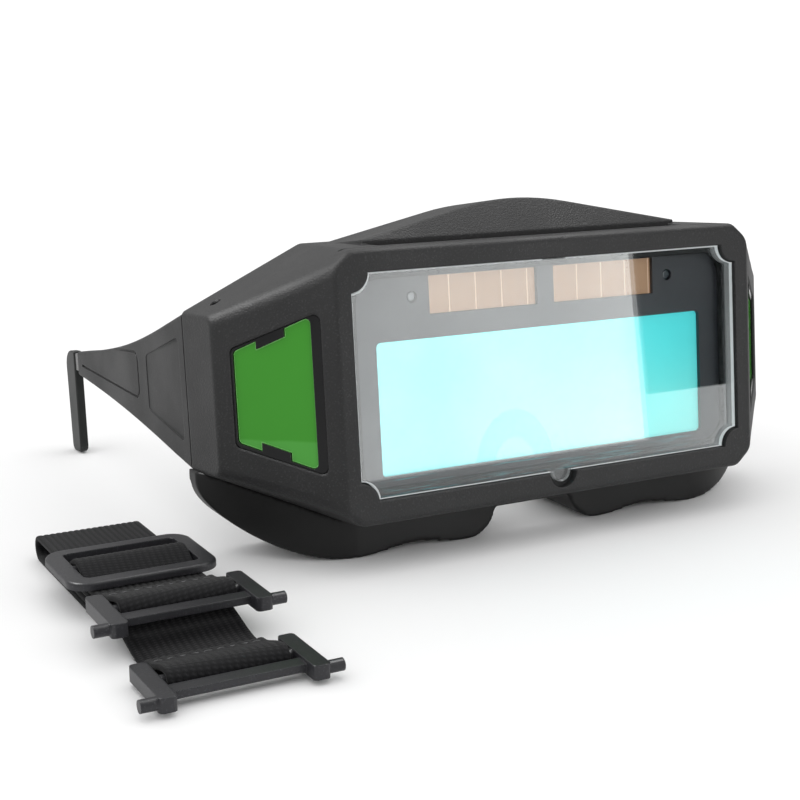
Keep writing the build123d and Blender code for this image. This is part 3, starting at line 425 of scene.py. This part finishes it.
def green_window():
    """Deep green tinted sheet with a painted glow, a painted highlight on its cut edges and a paler lower band
    that is a painted reflection.
    """
    reflection_band_top, reflection_band_fade, reflection_band_wave = -10.4, 0.8, 5.0
    paint = Paint("green_window", Roughness=0.08, Specular_IOR_Level=0.22, Emission_Strength=0.12)
    cloud = paint.noise(35, 2.0)
    wave = paint.times(paint.less(cloud, 0.5), reflection_band_wave)
    height = paint.math("ADD", paint.worn_place()["Z"], wave)
    # painted reflection: the paler band across the sheet's lower part
    low = paint.smooth(height, reflection_band_top, reflection_band_top - reflection_band_fade)
    tone = paint.blend(cloud, (0.030, 0.205, 0.012), (0.036, 0.225, 0.016))
    tone = paint.blend(paint.times(low, 0.55), tone, (0.07, 0.30, 0.05))
    # painted highlight: the cut edges paler
    colour = paint.blend(paint.times(paint.edge(0.5), 0.9), tone, (0.26, 0.66, 0.20))
    # the colour also feeds the emission: a painted glow
    paint.link(colour, "Base Color", "Emission Color")
    return paint.material


# ---------------------------------------------------------------- soft materials
WEB_W, WEB_T, RIBS = 25.0, 1.3, 17   # elastic webbing and the ribs across its width
THREADS = 2.6                        # half waves of the cross threads in each mm of webbing
THREAD_SHIFT = 0.37                  # how far the threads of one rib are set off from the last one's


def soft_rubber(name, colour, rough):
    """Smooth black elastomer with a soft bloom."""
    paint = Paint(name, Specular_IOR_Level=0.26, Sheen_Weight=0.03, Sheen_Roughness=0.5)
    bloom = paint.noise(38, 4.0, 0.55)
    fine = paint.noise(1500, 2.0)
    bloomed = [c * 1.6 + 0.001 for c in colour]
    paint.link(paint.blend(paint.smooth(bloom, 0.3, 0.7), colour, bloomed), "Base Color")
    paint.mottled_gloss(bloom, rough - 0.06, rough + 0.08, 0.25, 0.75)
    paint.link(paint.bump(fine, 0.010), "Normal")
    return paint.material


def foam():
    """Fine closed-cell foam with a soft nap."""
    paint = Paint("foam", Roughness=0.95, Sheen_Weight=0.35, Sheen_Roughness=0.6)
    cells = paint.cells((1400, 1400, 1400), "EUCLIDEAN")
    paint.link(paint.blend(cells, (0.008, 0.008, 0.009), (0.035, 0.035, 0.037)), "Base Color")
    paint.link(paint.bump(cells, 0.12), "Normal")
    return paint.material


def webbing():
    """Black covered elastic: threads across the ribs, slightly greyed where they stand proud."""
    paint = Paint("webbing", Roughness=0.9, Specular_IOR_Level=0.14, Sheen_Weight=0.06)
    uv = paint.node("ShaderNodeTexCoord").outputs["UV"]
    split = paint.node("ShaderNodeSeparateXYZ", {"Vector": uv})
    along, across = split.outputs["X"], split.outputs["Y"]
    rib = paint.math("PINGPONG", paint.times(across, RIBS * 2.0), 1.0)
    shift = paint.times(paint.math("ROUND", paint.times(across, RIBS)), THREAD_SHIFT)
    cross = paint.math("PINGPONG", paint.math("ADD", paint.times(along, THREADS / MM), shift), 1.0)
    weave = paint.times(cross, rib)
    fuzz = paint.noise(2600, 3.0, 0.7)
    tone = paint.blend(weave, (0.002, 0.002, 0.0025), (0.013, 0.013, 0.0145))
    paint.link(paint.blend(paint.times(fuzz, 0.3), tone, (0.03, 0.03, 0.032)), "Base Color")
    paint.link(paint.bump(fuzz, 0.03, paint.bump(weave, 0.10)), "Normal")
    return paint.material


def sewing_thread():
    """Twisted polyester sewing thread."""
    paint = Paint("thread", Roughness=0.6, Sheen_Weight=0.3)
    twist = paint.noise(3500, 2.0, 0.5, (1, 0.3, 1))
    paint.link(paint.blend(twist, (0.02, 0.02, 0.022), (0.09, 0.09, 0.095)), "Base Color")
    paint.link(paint.bump(twist, 0.03), "Normal")
    return paint.material


MATERIALS = {
    "shell_black": grained_plastic(
        "shell_black", (0.0115, 0.0115, 0.012), grain=0.13, edge_radius=0.9, edge_wear_and_highlight=0.5, well=True
    ),
    "cartridge_black": satin_black(),
    "gloss_black": gloss_black(),
    "clear_lens": clear_lens(),
    "filter_cyan": filter_cyan(),
    "lcd_glass": lcd_glass(),
    "solar_cell": solar_cell(),
    "sensor": sensor(),
    "circuit_board": circuit_board(),
    "battery_steel": battery_steel(),
    "green_window": green_window(),
    "soft_rubber": soft_rubber("soft_rubber", (0.004, 0.004, 0.004), rough=0.45),
    "foam": foam(),
    "temple_black": grained_plastic("temple_black", (0.010, 0.010, 0.0105), grain=0.07, edge_radius=0.4),
    "bar_grey": grained_plastic("bar_grey", (0.20, 0.20, 0.20), grain=0.03, edge_radius=0.3, edge_wear_and_highlight=0.2),
    "tip_rubber": soft_rubber("tip_rubber", (0.013, 0.014, 0.0135), rough=0.5),
    "webbing": webbing(),
    "clip_black": grained_plastic(
        "clip_black", (0.020, 0.020, 0.023), grain=0.02, edge_radius=0.45, rough=(0.36, 0.46)
    ),
}

for entry in frame["record"]["subparts"]:
    node = frame["nodes"][entry["node"]]
    node.data.materials.clear()
    node.data.materials.append(MATERIALS[entry["material_slot"]])


# ---------------------------------------------------------------- mesh tools
def new_piece(name, mesh, slot, body, material=None):
    """Link a mesh as a piece that rides on a body, in its slot's material or in one of its own."""
    piece = bpy.data.objects.new(name, mesh)
    bpy.context.scene.collection.objects.link(piece)
    mesh.materials.clear()
    mesh.materials.append(material or MATERIALS[slot])
    mesh.polygons.foreach_set("use_smooth", [True] * len(mesh.polygons))
    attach(piece, body)
    return piece


def softened(node_name, name, slot, body, voxel, rounds):
    """A moulded soft piece: the CAD solid's shape, with all its edges and corners rounded over."""
    source = frame["nodes"][node_name]
    piece = bpy.data.objects.new(name, source.data.copy())
    bpy.context.scene.collection.objects.link(piece)
    remesh = piece.modifiers.new("remesh", "REMESH")
    remesh.mode = "VOXEL"
    remesh.voxel_size = voxel * MM
    smooth = piece.modifiers.new("smooth", "SMOOTH")
    smooth.factor = 0.5
    smooth.iterations = rounds
    bpy.context.view_layer.update()
    depsgraph = bpy.context.evaluated_depsgraph_get()
    mesh = bpy.data.meshes.new_from_object(piece.evaluated_get(depsgraph))
    bpy.data.objects.remove(piece)
    made = new_piece(name, mesh, slot, body)
    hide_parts(node_name)
    return made


# ---------------------------------------------------------------- cheek seal and brow pad
SEAL_TOP_SLOPE, SEAL_TOP_AT_ZERO = 0.4547, -57.65    # top edge: height = at zero + slope x half width
SEAL_TOP_LOWEST = -33.0                              # beside the nose gap, where the top edge is level
SEAL_TUCK, SEAL_TUCK_DEPTH = 0.8, 1.8                # how far it is raised, and over what height


def tuck_up(piece):
    """Raise the seal's top edge so that it closes up to the housing, fading out below the edge."""
    to_worn = GOGGLES.inverted()
    for vertex in piece.data.vertices:
        spot = to_worn @ vertex.co / MM
        edge_z = max(SEAL_TOP_LOWEST, SEAL_TOP_AT_ZERO + SEAL_TOP_SLOPE * abs(spot.x))
        share = 1 - min(1.0, max(0.0, (edge_z - spot.z) / SEAL_TUCK_DEPTH))
        vertex.co += (lean_turn @ Vector((0, 0, SEAL_TUCK * share))) * MM


cheek_seal = softened("cheek_seal", "cheek_seal_moulded", "soft_rubber", "goggles", voxel=0.45, rounds=4)
tuck_up(cheek_seal)
brow_pad = softened("brow_pad", "brow_pad_foam", "foam", "goggles", voxel=0.6, rounds=6)

# ---------------------------------------------------------------- headband webbing
LAYERS = (0.70, 2.35, 4.00, 5.65)                # heights of the four layers' middles
FOLD_S, INNER_FOLD_S, OUTER_FOLD_S = 4.0, 15.0, 56.0
SLIDER_S, SLIDER_OVER_Z, SLIDER_REACH = 35.0, 9.10, 9.0
CLIP_S = (64.0, CLIP_2_S)
WRAP_R = 1.98                        # the webbing's middle, round a clip's bar
TAIL, TAIL_GAP = 11.0, 1.45          # a sewn-down end, and its height above the layer below
RUN_OUT, LEVEL_RUN = 4.0, 3.0        # how far the third layer runs past its fold, and lies before the tail
STEP, TURN_STEP = 0.7, 0.28          # spacing of the points along the webbing and round its turns
RIB_DEPTH, RIB_POINTS, RIB_FULLNESS = 0.16, 5, 0.6


class Path:
    """The webbing's middle line in side view, s along the headband and z up, as closely spaced points."""

    def __init__(self, s, z):
        self.points = [(s, z)]

    def line_to(self, s, z):
        """Straight run."""
        s0, z0 = self.points[-1]
        count = max(2, round(((s - s0) ** 2 + (z - z0) ** 2) ** 0.5 / STEP))
        for i in range(1, count + 1):
            self.points.append((s0 + (s - s0) * i / count, z0 + (z - z0) * i / count))

    def ease_to(self, s, z):
        """S-shaped run that starts and ends level."""
        s0, z0 = self.points[-1]
        chord = ((s - s0) ** 2 + (z - z0) ** 2) ** 0.5
        way = 1 if s > s0 else -1
        count = max(8, round(chord / STEP))
        for i in range(1, count + 1):
            t = i / count
            pull = (t ** 3 - 2 * t ** 2 + t) + (t ** 3 - t ** 2)
            share = 3 * t ** 2 - 2 * t ** 3
            self.points.append((s0 + (s - s0) * share + way * chord * pull, z0 + (z - z0) * share))

    def turn(self, radius, way, upwards):
        """Half turn about a point straight above or below the path's end."""
        s0, z0 = self.points[-1]
        side = 1 if upwards else -1
        count = max(12, round(pi * radius / TURN_STEP))
        for i in range(1, count + 1):
            angle = pi * i / count
            self.points.append((s0 + way * radius * sin(angle), z0 + side * radius * (1 - cos(angle))))


def webbing_path():
    """From the end sewn round the first clip, through the slider and the folds, to the second clip."""
    path = Path(CLIP_S[0] - TAIL, LAYERS[3] + TAIL_GAP)
    path.ease_to(CLIP_S[0], LAYERS[3] + 2 * WRAP_R)
    path.turn(WRAP_R, way=1, upwards=False)
    path.line_to(SLIDER_S + SLIDER_REACH, LAYERS[3])
    path.ease_to(SLIDER_S, SLIDER_OVER_Z)
    path.ease_to(SLIDER_S - SLIDER_REACH, LAYERS[3])
    path.line_to(FOLD_S, LAYERS[3])
    path.turn((LAYERS[3] - LAYERS[0]) / 2, way=-1, upwards=False)
    path.line_to(OUTER_FOLD_S, LAYERS[0])
    path.turn((LAYERS[1] - LAYERS[0]) / 2, way=1, upwards=True)
    path.line_to(INNER_FOLD_S, LAYERS[1])
    path.turn((LAYERS[2] - LAYERS[1]) / 2, way=-1, upwards=True)
    path.line_to(OUTER_FOLD_S + RUN_OUT, LAYERS[2])
    path.ease_to(CLIP_S[1] - TAIL - LEVEL_RUN, LAYERS[0])
    path.line_to(CLIP_S[1], LAYERS[0])
    path.turn(WRAP_R, way=1, upwards=True)
    path.ease_to(CLIP_S[1] - TAIL, LAYERS[0] + TAIL_GAP)
    return [Vector(point) for point in path.points]


def webbing_section():
    """Closed section of the webbing: (across, up) in mm and a 0 to 1 place across, ribbed on both faces."""
    steps = RIBS * RIB_POINTS
    face = []
    for i in range(steps + 1):
        share = i / steps
        crown = abs(sin(pi * RIBS * share))
        half = WEB_T / 2 - RIB_DEPTH + RIB_DEPTH * crown ** RIB_FULLNESS
        face.append((WEB_W * (share - 0.5), half, share))
    return face + [(w, -t, share) for w, t, share in reversed(face)]


def build_webbing():
    """Sweep the ribbed section along the path, closed at both ends."""
    points = webbing_path()
    section = webbing_section()
    count = len(section)
    built = bmesh.new()
    uv_layer = built.loops.layers.uv.new("UVMap")
    rings, lengths, travelled = [], [], 0.0
    for i, point in enumerate(points):
        before, after = points[max(i - 1, 0)], points[min(i + 1, len(points) - 1)]
        along = (after - before).normalized()
        normal = Vector((-along.y, along.x))
        travelled += (point - points[i - 1]).length if i else 0.0
        lengths.append(travelled * MM)
        ring = []
        for across, up_by, _ in section:
            spot = point + normal * up_by
            ring.append(built.verts.new(laid(spot.x, across, spot.y)))
        rings.append(ring)
    for i in range(len(rings) - 1):
        for j in range(count):
            k = (j + 1) % count
            corners = ((i, j), (i + 1, j), (i + 1, k), (i, k))
            face = built.faces.new([rings[ring_index][spot_index] for ring_index, spot_index in corners])
            for loop, (ring_index, spot_index) in zip(face.loops, corners):
                loop[uv_layer].uv = (lengths[ring_index], section[spot_index][2])
    built.faces.new(rings[0])
    built.faces.new(list(reversed(rings[-1])))
    bmesh.ops.recalc_face_normals(built, faces=built.faces)
    mesh = bpy.data.meshes.new("strap_webbing_elastic")
    built.to_mesh(mesh)
    built.free()
    return mesh, travelled * MM


webbing_mesh, webbing_length = build_webbing()
strap = new_piece("strap_webbing_elastic", webbing_mesh, "webbing", "strap")
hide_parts("strap_webbing")

# ---------------------------------------------------------------- stitches
STITCH_L, STITCH_R, STITCH_PITCH, STITCH_MARGIN = 1.9, 0.2, 2.6, 3.0
STITCH_ROWS = (1.6, 3.4)                         # the two rows on each sewn end, from its cut edge
SEWN_ENDS = ((CLIP_S[0], LAYERS[3]), (CLIP_S[1], LAYERS[0]))


def build_stitches():
    """Rows of short stitches across the webbing's sewn ends, each a slim oval half sunk in it."""
    built = bmesh.new()
    count = int((WEB_W - STITCH_MARGIN) / STITCH_PITCH)
    turn = Matrix.Rotation(pi / 2, 4, "Y")
    stretch = Matrix.Diagonal((1, 1, STITCH_L / (2 * STITCH_R), 1))
    for clip_s, layer in SEWN_ENDS:
        for row in STITCH_ROWS:
            for i in range(count + 1):
                across = (i - count / 2) * STITCH_PITCH
                place = Matrix.Translation(laid(clip_s - TAIL + row, across, layer + TAIL_GAP + WEB_T / 2))
                bit = bmesh.ops.create_uvsphere(built, u_segments=8, v_segments=10, radius=STITCH_R * MM)
                bmesh.ops.transform(built, matrix=place @ turn @ stretch, verts=bit["verts"])
    mesh = bpy.data.meshes.new("strap_stitches")
    built.to_mesh(mesh)
    built.free()
    return mesh


new_piece("strap_stitches", build_stitches(), "webbing", "strap", material=sewing_thread())

# ---------------------------------------------------------------- floor, panels and light
FLOOR_HALF = 6.0                                 # metres
EVEN_WHITE, MIRRORED_FRONT = 1.24, 0.34          # glow of the studio: as light, and as it is mirrored
MIRRORED_GLOWS = (("Y", -0.1, 0.5, 0.30), ("Z", 0.35, 0.9, 0.25))    # axis, from, to, added glow


def card(name, corners, material):
    """A flat four-cornered sheet of the studio."""
    mesh = bpy.data.meshes.new(name)
    mesh.from_pydata([tuple(corner) for corner in corners], [], [(0, 1, 2, 3)])
    mesh.materials.append(material)
    made = bpy.data.objects.new(name, mesh)
    bpy.context.scene.collection.objects.link(made)
    return made


def floor_material():
    """Pale seamless matt table."""
    paint = Paint("studio_floor", Specular_IOR_Level=0.0)
    cloud = paint.noise(3, 2.0)
    paint.link(paint.blend(cloud, (0.88, 0.88, 0.88), (0.90, 0.90, 0.90)), "Base Color")
    return paint.material


def glow_material(name, strength):
    """Even glow of a studio panel."""
    material = bpy.data.materials.new(name)
    material.use_nodes = True
    tree = material.node_tree
    tree.nodes.remove(tree.nodes["Principled BSDF"])
    glow = tree.nodes.new("ShaderNodeEmission")
    glow.inputs["Strength"].default_value = strength
    tree.links.new(glow.outputs[0], tree.nodes["Material Output"].inputs["Surface"])
    return material


def reflection_card(name, left, right, distance, top, strength):
    """A panel standing on the floor in front of the goggles, which only mirrors show.

    left, right and distance are in mm in the goggles' frame, and top is its height in mm.
    """
    corners = [worn(x, -distance, 0) for x in (left, right, right, left)]
    for corner, height in zip(corners, (0, 0, top, top)):
        corner.z = height * MM
    made = card(name, corners, glow_material(name, strength))
    made.visible_camera = False
    made.visible_diffuse = False
    made.visible_shadow = False
    made.visible_transmission = False


def area_light(name, place, aim, size, power):
    """Square softbox of the given width, in metres, aimed at a point; its light shows only as gloss."""
    data = bpy.data.lights.new(name, "AREA")
    data.size = size
    data.energy = power
    light = bpy.data.objects.new(name, data)
    bpy.context.scene.collection.objects.link(light)
    turn = (aim - place).to_track_quat("-Z", "Y").to_matrix().to_4x4()
    light.matrix_world = Matrix.Translation(place) @ turn
    light.visible_diffuse = False


def studio_world():
    """Even white light, which mirrors show as dim in front of the goggles, brighter behind and overhead."""
    world = bpy.data.worlds.new("studio")
    world.use_nodes = True
    tree = world.node_tree
    split = tree.nodes.new("ShaderNodeSeparateXYZ")
    tree.links.new(tree.nodes.new("ShaderNodeTexCoord").outputs["Generated"], split.inputs[0])
    glows = []
    for axis, low, high, strength in MIRRORED_GLOWS:
        ramp = tree.nodes.new("ShaderNodeMapRange")
        ramp.interpolation_type = "SMOOTHSTEP"
        for socket, value in (("From Min", low), ("From Max", high), ("To Min", 0.0), ("To Max", strength)):
            ramp.inputs[socket].default_value = value
        tree.links.new(split.outputs[axis], ramp.inputs["Value"])
        glows.append(ramp.outputs["Result"])
    total = tree.nodes.new("ShaderNodeMath")
    tree.links.new(glows[0], total.inputs[0])
    tree.links.new(glows[1], total.inputs[1])
    lifted = tree.nodes.new("ShaderNodeMath")
    tree.links.new(total.outputs[0], lifted.inputs[0])
    lifted.inputs[1].default_value = MIRRORED_FRONT
    by_ray = tree.nodes.new("ShaderNodeMix")
    tree.links.new(tree.nodes.new("ShaderNodeLightPath").outputs["Is Glossy Ray"], by_ray.inputs["Factor"])
    by_ray.inputs["A"].default_value = EVEN_WHITE
    tree.links.new(lifted.outputs[0], by_ray.inputs["B"])
    tree.links.new(by_ray.outputs["Result"], tree.nodes["Background"].inputs["Strength"])
    tree.nodes["Background"].inputs["Color"].default_value = (1, 1, 1, 1)
    bpy.context.scene.world = world


# the panels' places are in mm, and the lights' are in metres from the middle of the goggles
floor_corners = [(x * FLOOR_HALF, y * FLOOR_HALF, 0) for x, y in ((-1, -1), (1, -1), (1, 1), (-1, 1))]
card("studio_floor", floor_corners, floor_material())
# the bright panel makes the veil over the lens, and the black one keeps the lens's other end clear
reflection_card("studio_softbox", left=20, right=175, distance=200, top=160, strength=3.2)
reflection_card("studio_flag", left=365, right=1500, distance=450, top=700, strength=0.0)
middle = worn(0, 40, 0)
area_light("top_softbox", middle + Vector((0.32, 0.02, 0.72)), middle, size=0.25, power=4.5)
area_light("left_softbox", middle + Vector((-0.52, 0.16, 0.66)), middle, size=0.25, power=11.0)
studio_world()
